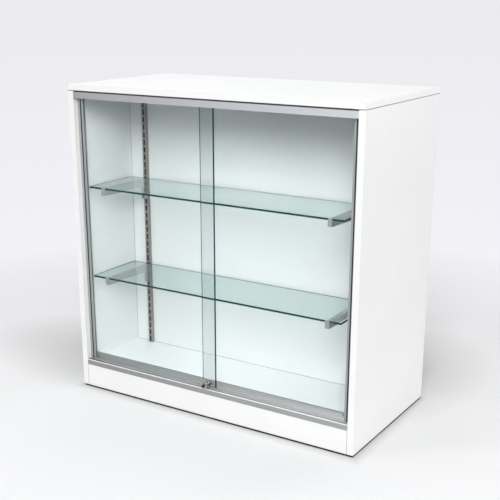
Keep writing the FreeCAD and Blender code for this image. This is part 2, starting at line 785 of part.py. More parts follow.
def make_standard(side, standard_screws):
    """Slotted channel that carries the brackets on one side."""
    half = "standard_width / 2"
    half_clear = "(standard_width / 2 - profile_wall)"
    web_back = "standard_front + profile_wall"
    corners = [
        (f"-{half}", "standard_front"),
        (half, "standard_front"),
        (half, "back_front"),
        (half_clear, "back_front"),
        (half_clear, web_back),
        (f"-{half_clear}", web_back),
        (f"-{half_clear}", "back_front"),
        (f"-{half}", "back_front"),
    ]
    body = new_body(side + "_standard_body", across=standard_line(side), up="deck_top")
    sketch = outline(body, side + "_standard_outline", "XY_Plane", corners)
    channel = extruded(body, side + "_standard_length", sketch, "standard_height")
    slot_top = "first_slot_rise + slot_height"
    slot_corners = [
        ("-slot_width / 2", "first_slot_rise"),
        ("slot_width / 2", "first_slot_rise"),
        ("slot_width / 2", slot_top),
        ("-slot_width / 2", slot_top),
    ]
    slot_sketch = outline(body, side + "_slot_outline", "XZ_Plane", slot_corners)
    slot = body.newObject("PartDesign::Pocket", side + "_slot")
    slot.Profile = slot_sketch
    slot.Type = "ThroughAll"
    doc.recompute()
    if not slot.Shape.Volume < channel.Shape.Volume:
        raise RuntimeError("the first slot cuts nothing")
    row = body.newObject("PartDesign::LinearPattern", side + "_slot_row")
    row.Originals = [slot]
    upward = next(item for item in body.Origin.OriginFeatures if item.Role == "Z_Axis")
    row.Direction = (upward, [""])
    bind(row, Length="slot_spacing * (slot_count - 1)", Occurrences="slot_count")
    body.Tip = row
    return node(side + "_standard", carved(side + "_standard", body, [standard_screws]))


def make_bracket(level, side):
    """Folded shelf bracket that hooks into two slots of a standard."""
    name = f"{level}_{side}_bracket"
    body = new_body(name, across=standard_line(side), up=level + "_arm")
    plate_front = "standard_front - plate_depth"
    corners = [
        ("tip_front", "lip_rise"),
        ("tip_back", "lip_rise"),
        ("tip_back", "0"),
        ("standard_front", "0"),
        ("standard_front", "-plate_drop"),
        (plate_front, "-plate_drop"),
        (plate_front, "-root_drop"),
        ("tip_front", "-tip_drop"),
    ]
    sketch = outline(body, name + "_outline", "YZ_Plane", corners)
    extruded(body, name + "_blank", sketch, "bracket_width", midplane=True)
    wall_front = "standard_front - plate_wall"
    below = "-(plate_drop + bracket_wall)"
    hollow_corners = [
        ("tip_back", "-bracket_wall"),
        (wall_front, "-bracket_wall"),
        (wall_front, below),
        ("tip_back", below),
    ]
    hollow = body.newObject("PartDesign::Pocket", name + "_hollow")
    hollow.Profile = outline(body, name + "_hollow_outline", "YZ_Plane", hollow_corners)
    hollow.Midplane = True
    bind(hollow, Length="bracket_width - 2 * bracket_wall")
    body.Tip = hollow
    hook_end = "standard_front + hook_reach"
    hook_root = "standard_front - bracket_wall"
    for number, drop in enumerate(("upper_hook_drop", "(upper_hook_drop + hook_spacing)")):
        hook_corners = [
            (hook_root, f"-{drop}"),
            ("tongue_front", f"-{drop}"),
            ("tongue_front", f"-{drop} - tongue_drop"),
            (hook_end, f"-{drop} - tongue_drop"),
            (hook_end, f"hook_height - {drop}"),
            (hook_root, f"hook_height - {drop}"),
        ]
        hook_sketch = outline(body, f"{name}_hook_outline_{number}", "YZ_Plane", hook_corners)
        extruded(body, f"{name}_hook_{number}", hook_sketch, "hook_width", midplane=True)
    return node(name, body)


def make_shelf(level):
    """Glass shelf on four clear pads."""
    arm = level + "_arm"
    pads = []
    pad_lines = ("shelf_front + pad_inset", "shelf_front + shelf_depth - pad_inset")
    for side in SIDES:
        across = centred(standard_line(side), "pad_side")
        for number, line in enumerate(pad_lines):
            name = f"{level}_{side}_pad_{number}"
            up = (arm, f"{arm} + pad_thick")
            pads.append(slab(name, across, centred(line, "pad_side"), up))
    node(level + "_shelf_pads", group(level + "_shelf_pads", pads))
    glass_low = f"{arm} + pad_thick"
    name = level + "_glass_shelf"
    across = ("shelf_left_gap - half_inside", "half_inside - shelf_right_gap")
    behind = ("shelf_front", "shelf_front + shelf_depth")
    return node(name, slab(name, across, behind, (glass_low, f"{glass_low} + glass_thick")))


def make_counter():
    """All the sub-parts."""
    feet = make_feet()
    dowels = make_dowels()
    cam_pockets, cam_bolts = make_cams()
    track_screws = make_track_screws()
    jamb_screws = make_jamb_screws()
    standard_screws = make_standard_screws()
    make_boards(
        feet, dowels, cam_pockets, cam_bolts, track_screws, jamb_screws, standard_screws
    )
    make_top_track(track_screws)
    make_bottom_track(track_screws)
    for side in SIDES:
        make_jamb(side, jamb_screws)
        make_standard(side, standard_screws)
        for level in ("upper", "lower"):
            make_bracket(level, side)
    make_bumpers()
    make_doors()
    make_shelf("upper")
    make_shelf("lower")


def check_objects():
    """Stop if any object failed or has no valid shape."""
    for item in doc.Objects:
        if "Invalid" in item.State or "Error" in item.State:
            raise RuntimeError(f"{item.Name}: {item.State}")
        shape = getattr(item, "Shape", None)
        if shape is not None and not item.isDerivedFrom("App::OriginFeature"):
            if shape.isNull() or not shape.isValid():
                raise RuntimeError(f"{item.Name}: no valid shape")


def write_nodes():
    """One STEP file for each sub-part."""
    os.makedirs("parts", exist_ok=True)
    for name, piece in nodes.items():
        piece.Shape.exportStep(f"parts/{name}.step")
        print(name, len(piece.Shape.Solids), "solids")


fill_sheet()
make_counter()
doc.recompute()
check_objects()
write_nodes()
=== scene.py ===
import math

import bpy
from mathutils import Matrix, Vector

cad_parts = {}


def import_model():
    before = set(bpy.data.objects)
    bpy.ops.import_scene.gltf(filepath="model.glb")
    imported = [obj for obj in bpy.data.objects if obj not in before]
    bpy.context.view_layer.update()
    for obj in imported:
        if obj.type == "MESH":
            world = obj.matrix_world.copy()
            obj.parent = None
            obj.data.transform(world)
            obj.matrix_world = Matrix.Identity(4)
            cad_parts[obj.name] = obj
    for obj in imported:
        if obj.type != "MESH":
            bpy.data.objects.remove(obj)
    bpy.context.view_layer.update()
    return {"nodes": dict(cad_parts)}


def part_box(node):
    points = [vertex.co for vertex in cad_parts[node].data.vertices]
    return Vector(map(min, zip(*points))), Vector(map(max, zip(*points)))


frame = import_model()

# Camera found from the cabinet's corners in the photograph, for a frame 500 pixels wide.
# Yaw, pitch and roll are in degrees.
FRAME_PIXELS = 500
FOCAL_PIXELS = 949.50
SENSOR_MM = 36.0
YAW, PITCH, ROLL = 32.5842, 18.2222, -0.1081
PRINCIPAL_POINT = (240.06, 306.95)
CAMERA_SPOT = (1.38194, -2.21147, 1.12315)

# Linear colours. A name that ends in RIGHT is the colour at the right end of a track, brightened there as
# a painted highlight; SHADED is painted shade.
LAMINATE = (0.80, 0.807, 0.792)
# Lighter copy of the laminate for the deck, as painted light.
LIT_DECK_LAMINATE = (0.89, 0.89, 0.89)
LAMINATE_SEAM = (0.52, 0.52, 0.53)
# Painted shadow in the board joints, then painted shade for recesses, slots and holes.
JOINT_SHADOW = (0.10, 0.10, 0.10)
SHADED = (0.010, 0.010, 0.009)
ALUMINIUM = (0.46, 0.465, 0.47)
INNER_ALUMINIUM = (0.33, 0.35, 0.35)
# Lighter copy of the jamb's aluminium for its web, as painted light.
LIT_WEB_ALUMINIUM = (0.52, 0.54, 0.54)
# Tracks: RIGHT colours end a painted highlight; the ledge, rib, rib foot and rear leg get lighter copies
# as painted light; the ledge's lip band is painted dark on the left and as a highlight on the right, with
# a painted shadow line behind it; the slanted lip is a painted highlight.
TOP_ALUMINIUM = (0.345, 0.345, 0.345)
TOP_HIGHLIGHT_RIGHT = (0.58, 0.60, 0.62)
LOW_ALUMINIUM = (0.305, 0.305, 0.292)
LOW_HIGHLIGHT_RIGHT = (0.385, 0.395, 0.395)
LIT_LEDGE_ALUMINIUM = (0.37, 0.37, 0.36)
LIT_LEDGE_ALUMINIUM_RIGHT = (0.62, 0.645, 0.65)
PAINTED_LEDGE_LIP = (0.20, 0.205, 0.205)
PAINTED_LEDGE_LIP_RIGHT = (0.92, 0.94, 0.95)
LEDGE_SHADOW_LINE = (0.09, 0.09, 0.09)
LEDGE_SHADOW_LINE_RIGHT = (0.24, 0.25, 0.25)
LIT_RIB_ALUMINIUM = (0.37, 0.365, 0.345)
LIT_RIB_ALUMINIUM_RIGHT = (0.46, 0.47, 0.47)
LIT_RIB_FOOT = (0.36, 0.355, 0.345)
LIT_RIB_FOOT_RIGHT = (0.78, 0.82, 0.83)
LIT_REAR_LEG_ALUMINIUM = (0.43, 0.435, 0.43)
LIP_HIGHLIGHT = (0.97, 0.98, 0.99)
STANDARD_STEEL = (0.36, 0.345, 0.32)
STEEL = (0.50, 0.51, 0.52)
GALVANISED = (0.44, 0.435, 0.42)
CHROME = (0.60, 0.53, 0.44)
# Darker neck of the lock behind its head, as painted shade.
SHADED_NECK_METAL = (0.36, 0.31, 0.26)
PLUG_METAL = (0.09, 0.08, 0.07)
ZINC = (0.40, 0.40, 0.41)
BEECH_LIGHT = (0.60, 0.42, 0.25)
BEECH_DARK = (0.42, 0.27, 0.14)
BLACK_PVC = (0.012, 0.012, 0.013)
BLACK_NYLON = (0.020, 0.020, 0.021)
GREY_NYLON = (0.28, 0.285, 0.285)
BLACK_RUBBER = (0.012, 0.012, 0.012)
PAD_CLEAR = (0.62, 0.66, 0.64)
DOOR_TINT = (0.835, 0.869, 0.880)
SHELF_TINT = (0.742, 0.838, 0.818)
GLASS_SHADE = (0.885, 0.895, 0.895)
GLASS_EDGE = (0.0, 0.062, 0.046)
GLASS_SHEEN = (0.22, 0.22, 0.22)
FLOOR_NEAR = (0.765, 0.765, 0.770)
FLOOR_UNDER = (0.03, 0.03, 0.03)
BACKDROP = (0.860, 0.860, 0.890)
BACKDROP_LOW = (0.893, 0.893, 0.932)
BACKDROP_HIGH = (0.838, 0.838, 0.866)
AROUND = (0.97, 0.98, 1.0)

# How much of its colour a darker tone keeps, and how far a lighter one goes past it.
LAMINATE_TONE_SHARE = 0.975
BRUSHED_TONE_SHARE = 0.92
CRYSTAL_TONE_SHARE = 0.84
WIPED_TONE_SHARE = 0.8
PAD_TONE_SHARE = 0.85
GLASS_EDGE_TONE_SHARE = 0.55
MOULDED_TONE_SHARE = 1.35
MOULDED_LIFT = 0.004

# How much a mark covers, and how much of a coated metal is bare metal.
SEAM_SHARE = 0.55
JOINT_SHARE = 0.85
BRUSHED_LINE_SHARE = 0.25
TOP_METAL_SHARE = 0.6
BOTTOM_METAL_SHARE = 0.45
JAMB_METAL_SHARE = 0.5
STANDARD_METAL_SHARE = 0.9
BRACKET_METAL_SHARE = 0.7

# How far a face has to turn towards an axis to count as facing it or as flat, and towards two axes
# at once to count as the slanted lip.
FACING_SHARE = 0.5
FLAT_SHARE = 0.9
SLANT_SHARE = 0.3

# Roughness from the smoothest spots to the roughest, or one value.
LAMINATE_ROUGH = (0.30, 0.42)
TOP_ROUGH = (0.50, 0.62)
BOTTOM_ROUGH = (0.38, 0.52)
JAMB_ROUGH = (0.40, 0.50)
CAST_ROUGH = (0.40, 0.55)
PLATED_ROUGH = (0.26, 0.44)
ZINC_ROUGH = (0.19, 0.34)
LOCK_ROUGH = (0.15, 0.30)
PVC_ROUGH = (0.35, 0.49)
GREY_NYLON_ROUGH = (0.38, 0.52)
BLACK_NYLON_ROUGH = (0.43, 0.57)
RUBBER_ROUGH = (0.58, 0.72)
BEECH_ROUGH = 0.6
PAD_ROUGH = 0.25
GLASS_EDGE_ROUGH = 0.15
GLASS_SMEAR_ROUGH = 0.02

# Levels of gloss for the Principled shader, and the refraction of glass.
LAMINATE_GLOSS = 0.45
MOULDED_GLOSS = 0.4
GLASS_IOR = 1.45

# Noise textures: spots per metre, and levels of detail.
CLOUD_NOISE = (5.0, 3.0)
WEAR_NOISE = (38.0, 5.0)
LAMINATE_GRAIN_NOISE = (2600.0, 2.0)
BRUSHED_NOISE = (900.0, 3.0)
METAL_TONE_NOISE = (9.0, 3.0)
SCRATCH_NOISE = (700.0, 4.0)
WIPE_NOISE = (240.0, 4.0)
MOULDED_TONE_NOISE = (60.0, 3.0)
MOULDED_GRAIN_NOISE = (1500.0, 2.0)
FLECK_NOISE = (420.0, 4.0)
STREAK_NOISE = (60.0, 3.0)
SMEAR_NOISE = (3.0, 4.0)
PAD_NOISE = (300.0, 3.0)
CRYSTALS_PER_METRE = 260.0

# Values of a noise between which a roughness or a tone changes, and what they turn into.
NOISE_RANGE = (0.3, 0.7)
TONE_RANGE = (0.35, 0.65)
FLECK_RANGE = (0.4, 0.65)
WIPE_RANGE = (0.4, 0.7)
RISING_SHARES = (0.0, 1.0)
FALLING_SHARES = (1.0, 0.0)

# How often a texture repeats along X, Y and Z against its own scale: less often draws it out.
EVEN = (1.0, 1.0, 1.0)
DRAWN_ALONG = (0.02, 1.0, 1.0)
DRAWN_UPRIGHT = (1.0, 1.0, 0.02)
SCRATCHES_UPRIGHT = (1.0, 1.0, 0.08)
FLECKS_ALONG = (0.12, 1.0, 1.0)

# Bumps: strength and depth.
LAMINATE_BUMP = (0.12, 0.0002)
BRUSHED_BUMP = (0.05, 0.0001)
SCRATCH_BUMP = (0.08, 0.0001)
MOULDED_BUMP = (0.25, 0.0002)
BEECH_BUMP = (0.2, 0.0002)

# Lines on the boards, and the ground arris along the edges of the panes, finer on the right door.
EDGING_THICK = 0.0012
SEAM_WIDTH = 0.00045
JOINT_HALF_WIDTH = 0.0011
ARRIS = 0.0014
FINE_ARRIS = 0.0002

# Standards: half of the channel behind the face, painted in shade, the slots, the rims around them, also
# painted dark as shade, and how deep a face still counts as one.
STANDARDS = ("left_standard", "right_standard")
CHANNEL_HALF = 0.0068
SLOT_SPACING = 0.022
FIRST_SLOT = 0.012
RIM_HALF_WIDTH = 0.0026
RIM_HALF_HEIGHT = 0.0078
FACE_SKIN = 0.0006

# Tracks: the gap above the top one, painted in shade; the rear leg, the ledge, and the ledge's painted lip
# and painted shadow line on the bottom one.
REVEAL_DEEP = 0.0033
REAR_LEG_THICK = 0.002
LEDGE_RISE = 0.0065
LEDGE_LIP_DEEP = 0.0045
LEDGE_LINE_DEEP = 0.0086

# Lock: how deep its head is, past which the neck is painted darker as shade, and how deep the keyhole's
# edge is, past which the plug is painted in shade.
LOCK_HEAD_DEEP = 0.0092
KEYHOLE_EDGE_DEEP = 0.0003

# A Mix node's sockets share their names, so those for colours go by number: factor, first, second.
MIX_COLOUR_INPUTS = (0, 6, 7)
MIX_COLOUR_OUTPUT = 2


# Node trees

def feed(tree, socket, operand):
    """Give an input a number, a vector or a colour, or link it to an output."""
    if isinstance(operand, bpy.types.NodeSocket):
        tree.links.new(operand, socket)
    elif socket.type == "RGBA":
        socket.default_value = (*operand, 1.0)
    else:
        socket.default_value = operand


def node(tree, kind, **inputs):
    """Node of a kind, with its inputs fed by name."""
    made = tree.nodes.new("ShaderNode" + kind)
    for name, operand in inputs.items():
        feed(tree, made.inputs[name.replace("_", " ")], operand)
    return made


def new_material(name):
    """Material with an empty node tree; returns both."""
    material = bpy.data.materials.new(name)
    material.use_nodes = True
    material.node_tree.nodes.clear()
    return material, material.node_tree


def principled(tree, colour, rough, **inputs):
    """Principled shader on the material's output."""
    made = node(tree, "BsdfPrincipled", Base_Color=colour, Roughness=rough, **inputs)
    node(tree, "OutputMaterial", Surface=made.outputs[0])


def blended(tree, share, first, second):
    """Shader between two by a share."""
    made = node(tree, "MixShader")
    for socket, operand in zip(made.inputs, (share, first.outputs[0], second.outputs[0])):
        feed(tree, socket, operand)
    return made


def math_node(tree, operation, *operands):
    """Result of a Math node; each operand is a number or an output."""
    made = node(tree, "Math")
    made.operation = operation
    for socket, operand in zip(made.inputs, operands):
        feed(tree, socket, operand)
    return made.outputs[0]


def mixed(tree, share, first, second):
    """Colour between two by a share; each is a colour or an output."""
    made = node(tree, "Mix")
    made.data_type = "RGBA"
    for place, operand in zip(MIX_COLOUR_INPUTS, (share, first, second)):
        feed(tree, made.inputs[place], operand)
    return made.outputs[MIX_COLOUR_OUTPUT]


def spread(tree, value, old, new=RISING_SHARES):
    """Value moved from an old range to a new one, clamped."""
    ends = {"From_Min": old[0], "From_Max": old[1], "To_Min": new[0], "To_Max": new[1]}
    return node(tree, "MapRange", Value=value, **ends).outputs[0]


def widest(tree, shares):
    """Largest of several shares."""
    largest, *others = shares
    for share in others:
        largest = math_node(tree, "MAXIMUM", largest, share)
    return largest


def coordinates(tree, stretch=EVEN):
    """Object coordinates, stretched along the axes."""
    place = node(tree, "TexCoord")
    return node(tree, "Mapping", Vector=place.outputs["Object"], Scale=stretch).outputs[0]


def noise(tree, texture, stretch=EVEN):
    """Noise over the object's own coordinates."""
    scale, detail = texture
    made = node(tree, "TexNoise", Vector=coordinates(tree, stretch), Scale=scale, Detail=detail)
    return made.outputs["Fac"]


def bump(tree, height, strength, depth):
    """Normal that follows a height."""
    return node(tree, "Bump", Height=height, Strength=strength, Distance=depth).outputs[0]


def vector_part(tree, source, axis):
    """One part of a vector that Texture Coordinate gives."""
    place = node(tree, "TexCoord")
    return node(tree, "SeparateXYZ", Vector=place.outputs[source]).outputs[axis]


def axis_of(tree, axis):
    """One of the object's own coordinates."""
    return vector_part(tree, "Object", axis)


def normal_share(tree, axis):
    """How far the surface faces along one axis, from 0 to 1."""
    return math_node(tree, "ABSOLUTE", vector_part(tree, "Normal", axis))


def apart(tree, value, place):
    """Distance of a value from a place."""
    return math_node(tree, "ABSOLUTE", math_node(tree, "SUBTRACT", value, place))


def before(tree, axis, place):
    """One up to a place on an axis."""
    return math_node(tree, "LESS_THAN", axis_of(tree, axis), place)


def beyond(tree, axis, place):
    """One past a place on an axis."""
    return math_node(tree, "GREATER_THAN", axis_of(tree, axis), place)


def band(tree, axis, place, half):
    """One within half a width of a place on an axis."""
    return math_node(tree, "LESS_THAN", apart(tree, axis_of(tree, axis), place), half)


def ray_share(tree, *kinds):
    """One when the ray is of any of the kinds."""
    path = node(tree, "LightPath")
    return widest(tree, [path.outputs[kind] for kind in kinds])


def toned(colour, share, lift=0.0):
    """Colour with every channel multiplied by a share and lifted."""
    return tuple(channel * share + lift for channel in colour)


def mottled(tree, texture, first, second):
    """Colour that changes slowly between two."""
    return mixed(tree, spread(tree, noise(tree, texture), TONE_RANGE), first, second)


# Boards

def seam_lines(tree, planes):
    """Share of a fine seam line, an edging's thickness in from each (axis, place) plane."""
    lines = []
    for axis, place in planes:
        inwards = apart(tree, axis_of(tree, axis), place)
        from_seam = apart(tree, inwards, EDGING_THICK)
        lines.append(spread(tree, from_seam, (SEAM_WIDTH / 2, SEAM_WIDTH), FALLING_SHARES))
    return widest(tree, lines)


def joint_shadow_lines(tree, planes):
    """Share of the painted shadow line along each (axis, place) plane where boards meet or stand over the
    floor.
    """
    return widest(tree, [band(tree, axis, place, JOINT_HALF_WIDTH) for axis, place in planes])


def shade_behind_standards(tree):
    """Share of painted shade on the strips of the back panel behind the channels of the standards."""
    strips = []
    for name in STANDARDS:
        low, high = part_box(name)
        across = band(tree, "X", (low[0] + high[0]) / 2, CHANNEL_HALF)
        upright = band(tree, "Z", (low[2] + high[2]) / 2, (high[2] - low[2]) / 2)
        strips.append(math_node(tree, "MULTIPLY", across, upright))
    front = before(tree, "Y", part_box("back_panel")[0][1] + FACE_SKIN)
    return math_node(tree, "MULTIPLY", front, widest(tree, strips))


def laminate(name, white, seams, joints, shaded=None):
    """White melamine with a fine grain, seams of edging, painted shadow lines at its joints, and painted
    shade where given.
    """
    material, tree = new_material(name)
    colour = mottled(tree, CLOUD_NOISE, toned(white, LAMINATE_TONE_SHARE), white)
    if seams:
        share = math_node(tree, "MULTIPLY", seam_lines(tree, seams), SEAM_SHARE)
        colour = mixed(tree, share, colour, LAMINATE_SEAM)
    if joints:
        share = math_node(tree, "MULTIPLY", joint_shadow_lines(tree, joints), JOINT_SHARE)
        colour = mixed(tree, share, colour, JOINT_SHADOW)
    if shaded:
        colour = mixed(tree, shaded(tree), colour, SHADED)
    rough = spread(tree, noise(tree, WEAR_NOISE), NOISE_RANGE, LAMINATE_ROUGH)
    relief = bump(tree, noise(tree, LAMINATE_GRAIN_NOISE), *LAMINATE_BUMP)
    principled(tree, colour, rough, Specular_IOR_Level=LAMINATE_GLOSS, Normal=relief)
    return material


# Tones of the tracks and jambs

def along_track(tree, name, left_colour, right_colour):
    """Colour that changes from a track's left end to its right end."""
    low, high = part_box(name)
    along = spread(tree, axis_of(tree, "X"), (low[0], high[0]))
    return mixed(tree, along, left_colour, right_colour)


def top_track_light_and_shade(tree, base):
    """Colour with a painted highlight that brightens along the fascia, and painted shade in the reveal
    above it.
    """
    base = along_track(tree, "top_track", base, TOP_HIGHLIGHT_RIGHT)
    reveal_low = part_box("top_track")[1][2] - REVEAL_DEEP
    return mixed(tree, beyond(tree, "Z", reveal_low), base, SHADED)


def ledge_light_and_shade(tree, front):
    """Colour across the ledge, all painted light and shade: a lip at its front, then a dark shadow line,
    then the plain ledge lit lighter, each brighter to the right as a painted highlight.
    """
    plain = along_track(tree, "bottom_track", LIT_LEDGE_ALUMINIUM, LIT_LEDGE_ALUMINIUM_RIGHT)
    line = along_track(tree, "bottom_track", LEDGE_SHADOW_LINE, LEDGE_SHADOW_LINE_RIGHT)
    lip = along_track(tree, "bottom_track", PAINTED_LEDGE_LIP, PAINTED_LEDGE_LIP_RIGHT)
    past_lip = mixed(tree, before(tree, "Y", front + LEDGE_LINE_DEEP), plain, line)
    return mixed(tree, before(tree, "Y", front + LEDGE_LIP_DEEP), past_lip, lip)


def bottom_track_light_and_shade(tree, base):
    """Painted light on the bottom track: a highlight brightening to the right, lighter copies on the inner
    rib, its foot, the rear leg and the ledge, and a highlight on the slanted lip.
    """
    rib_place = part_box("left_door_glass")[1][1]
    track_low, track_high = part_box("bottom_track")
    ledge_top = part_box("deck_panel")[1][2] + LEDGE_RISE
    base = along_track(tree, "bottom_track", base, LOW_HIGHLIGHT_RIGHT)
    rib = along_track(tree, "bottom_track", LIT_RIB_ALUMINIUM, LIT_RIB_ALUMINIUM_RIGHT)
    rib_foot = along_track(tree, "bottom_track", LIT_RIB_FOOT, LIT_RIB_FOOT_RIGHT)
    foot = spread(tree, axis_of(tree, "Z"), (ledge_top, track_high[2]), FALLING_SHARES)
    base = mixed(tree, beyond(tree, "Y", rib_place), base, mixed(tree, foot, rib, rib_foot))
    base = mixed(tree, beyond(tree, "Y", track_high[1] - REAR_LEG_THICK), base, LIT_REAR_LEG_ALUMINIUM)
    ledge = math_node(tree, "GREATER_THAN", normal_share(tree, "Z"), FLAT_SHARE)
    base = mixed(tree, ledge, base, ledge_light_and_shade(tree, track_low[1]))
    turned = math_node(tree, "MULTIPLY", normal_share(tree, "Y"), normal_share(tree, "Z"))
    slant = math_node(tree, "GREATER_THAN", turned, SLANT_SHARE)
    return mixed(tree, slant, base, LIP_HIGHLIGHT)


def jamb_tone_and_light(tree, base):
    """Jamb colour, darker past its black insert, with painted light brightening its web."""
    insert_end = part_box("right_jamb_insert")[0][0]
    base = mixed(tree, band(tree, "X", 0.0, insert_end), base, INNER_ALUMINIUM)
    web = math_node(tree, "GREATER_THAN", normal_share(tree, "X"), FACING_SHARE)
    return mixed(tree, web, base, LIT_WEB_ALUMINIUM)


# Metals, plastics and wood

def brushed(name, colour, stretch, rough, metal_share=1.0, own_tone=None):
    """Metal with a fine noise, drawn out into lines by the stretch, and a slow change of tone."""
    material, tree = new_material(name)
    lines = noise(tree, BRUSHED_NOISE, stretch)
    darker = toned(colour, BRUSHED_TONE_SHARE)
    base = mottled(tree, METAL_TONE_NOISE, darker, colour)
    if own_tone:
        base = own_tone(tree, base)
    line_share = spread(tree, lines, NOISE_RANGE, (0.0, BRUSHED_LINE_SHARE))
    fine = mixed(tree, line_share, base, darker)
    relief = bump(tree, lines, *BRUSHED_BUMP)
    principled(tree, fine, spread(tree, lines, NOISE_RANGE, rough), Metallic=metal_share, Normal=relief)
    return material


def shade_in_channel(tree, name):
    """Share of the faces inside a standard and its slots, painted dark as shade."""
    low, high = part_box(name)
    across = band(tree, "X", (low[0] + high[0]) / 2, CHANNEL_HALF)
    return math_node(tree, "MULTIPLY", across, beyond(tree, "Y", low[1] + FACE_SKIN))


def shaded_slot_rims(tree, name):
    """Share of the rims around the slots of a standard, painted dark as shade."""
    low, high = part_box(name)
    across = band(tree, "X", (low[0] + high[0]) / 2, RIM_HALF_WIDTH)
    start = low[2] + FIRST_SLOT - SLOT_SPACING / 2
    rise = math_node(tree, "SUBTRACT", axis_of(tree, "Z"), start)
    rise = math_node(tree, "MODULO", rise, SLOT_SPACING)
    upright = math_node(tree, "LESS_THAN", apart(tree, rise, SLOT_SPACING / 2), RIM_HALF_HEIGHT)
    return math_node(tree, "MULTIPLY", across, upright)


def galvanised(name, colour, metal_share, slotted=None):
    """Zinc-plated steel: small crystals of slightly different tone, with painted shade in and around a
    standard's slots.
    """
    material, tree = new_material(name)
    cells = node(tree, "TexVoronoi", Vector=coordinates(tree), Scale=CRYSTALS_PER_METRE)
    split = node(tree, "SeparateColor", Color=cells.outputs["Color"])
    base = mixed(tree, split.outputs[0], toned(colour, CRYSTAL_TONE_SHARE), colour)
    if slotted:
        dark = widest(tree, [shade_in_channel(tree, slotted), shaded_slot_rims(tree, slotted)])
        base = mixed(tree, dark, base, SHADED)
    scratches = noise(tree, SCRATCH_NOISE, SCRATCHES_UPRIGHT)
    rough = spread(tree, scratches, NOISE_RANGE, PLATED_ROUGH)
    relief = bump(tree, scratches, *SCRATCH_BUMP)
    principled(tree, base, rough, Metallic=metal_share, Normal=relief)
    return material


def polished(name, colour, rough, behind=None):
    """Plated metal with faint wipe marks; behind is a place on Y and the colour from there on."""
    material, tree = new_material(name)
    wipes = noise(tree, WIPE_NOISE)
    base = mixed(tree, spread(tree, wipes, WIPE_RANGE), colour, toned(colour, WIPED_TONE_SHARE))
    if behind:
        place, deep_colour = behind
        base = mixed(tree, beyond(tree, "Y", place), base, deep_colour)
    principled(tree, base, spread(tree, wipes, NOISE_RANGE, rough), Metallic=1.0)
    return material


def moulded(name, colour, rough):
    """Moulded plastic or rubber with a fine eroded surface."""
    material, tree = new_material(name)
    lighter = toned(colour, MOULDED_TONE_SHARE, MOULDED_LIFT)
    base = mottled(tree, MOULDED_TONE_NOISE, colour, lighter)
    grain = noise(tree, MOULDED_GRAIN_NOISE)
    grain_rough = spread(tree, grain, NOISE_RANGE, rough)
    relief = bump(tree, grain, *MOULDED_BUMP)
    principled(tree, base, grain_rough, Specular_IOR_Level=MOULDED_GLOSS, Normal=relief)
    return material


def beech(name):
    """Turned beech with short dark flecks."""
    material, tree = new_material(name)
    grain = noise(tree, FLECK_NOISE, FLECKS_ALONG)
    base = mixed(tree, spread(tree, grain, FLECK_RANGE), BEECH_LIGHT, BEECH_DARK)
    principled(tree, base, BEECH_ROUGH, Normal=bump(tree, grain, *BEECH_BUMP))
    return material


def clear_pad(name):
    """Soft clear plastic pad."""
    material, tree = new_material(name)
    base = mottled(tree, PAD_NOISE, toned(PAD_CLEAR, PAD_TONE_SHARE), PAD_CLEAR)
    principled(tree, base, PAD_ROUGH)
    return material


# Glass

def inside_arris(tree, name, pane_axis, arris):
    """One on the pane's faces, zero on the narrow ground arris along their edges."""
    bands = []
    for axis, low, high in zip("XYZ", *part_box(name)):
        if axis != pane_axis:
            bands.append(band(tree, axis, (low + high) / 2, (high - low) / 2 - arris))
    return math_node(tree, "MULTIPLY", *bands)


def float_glass(name, pane_axis, tint, arris):
    """Clear pane that lets the lamps through, with dark green polished edges."""
    material, tree = new_material(name + "_float")
    broad = math_node(tree, "GREATER_THAN", normal_share(tree, pane_axis), FACING_SHARE)
    facing = math_node(tree, "MULTIPLY", broad, inside_arris(tree, name, pane_axis, arris))
    streak = spread(tree, noise(tree, STREAK_NOISE), NOISE_RANGE)
    edge = mixed(tree, streak, toned(GLASS_EDGE, GLASS_EDGE_TONE_SHARE), GLASS_EDGE)
    smear = spread(tree, noise(tree, SMEAR_NOISE), NOISE_RANGE, (0.0, GLASS_SMEAR_ROUGH))
    edge_rough = spread(tree, facing, RISING_SHARES, (GLASS_EDGE_ROUGH, 0.0))
    rough = math_node(tree, "ADD", edge_rough, math_node(tree, "MULTIPLY", facing, smear))
    pane = node(tree, "BsdfPrincipled", Base_Color=mixed(tree, facing, edge, tint), Roughness=rough)
    feed(tree, pane.inputs["Transmission Weight"], facing)
    feed(tree, pane.inputs["IOR"], GLASS_IOR)
    feed(tree, pane.inputs["Specular Tint"], GLASS_SHEEN)
    clear = node(tree, "BsdfTransparent", Color=GLASS_SHADE)
    whole = blended(tree, ray_share(tree, "Is Shadow Ray"), pane, clear)
    node(tree, "OutputMaterial", Surface=whole.outputs[0])
    return material


# Finish of the pieces

def dress(names, material):
    """Give CAD nodes a material."""
    for name in names:
        for slot in frame["nodes"][name].material_slots:
            slot.material = material


def board_planes(name, sides):
    """Planes of a board's sides, such as X- or X+: pairs of axis and place from its box."""
    corners = dict(zip("-+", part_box(name)))
    return [(axis, corners[end]["XYZ".index(axis)]) for axis, end in sides]


def finish_boards():
    # For each board, the sides with a seam of edging and the sides where it meets another board or stands
    # over the floor, which get a painted shadow line.
    sides = {
        "top_panel": (("X-", "X+", "Y-", "Y+"), ("Z-",)),
        "left_side_panel": (("Y-", "Y+"), ("Z-", "Z+")),
        "right_side_panel": (("Y-", "Y+"), ("Z-", "Z+")),
        "deck_panel": (("Y+",), ()),
        "back_panel": ((), ("X-", "X+", "Z-")),
        "front_kick_plate": ((), ("X-", "X+", "Z-")),
        "rear_kick_plate": ((), ("X-", "X+", "Z-")),
    }
    for name, (edged, met) in sides.items():
        seams, joints = board_planes(name, edged), board_planes(name, met)
        # The deck takes the lighter copy of the laminate, as painted light.
        white = LIT_DECK_LAMINATE if name == "deck_panel" else LAMINATE
        # The back panel is painted in shade behind the standards' channels.
        shaded = shade_behind_standards if name == "back_panel" else None
        dress([name], laminate("laminate_" + name, white, seams, joints, shaded))


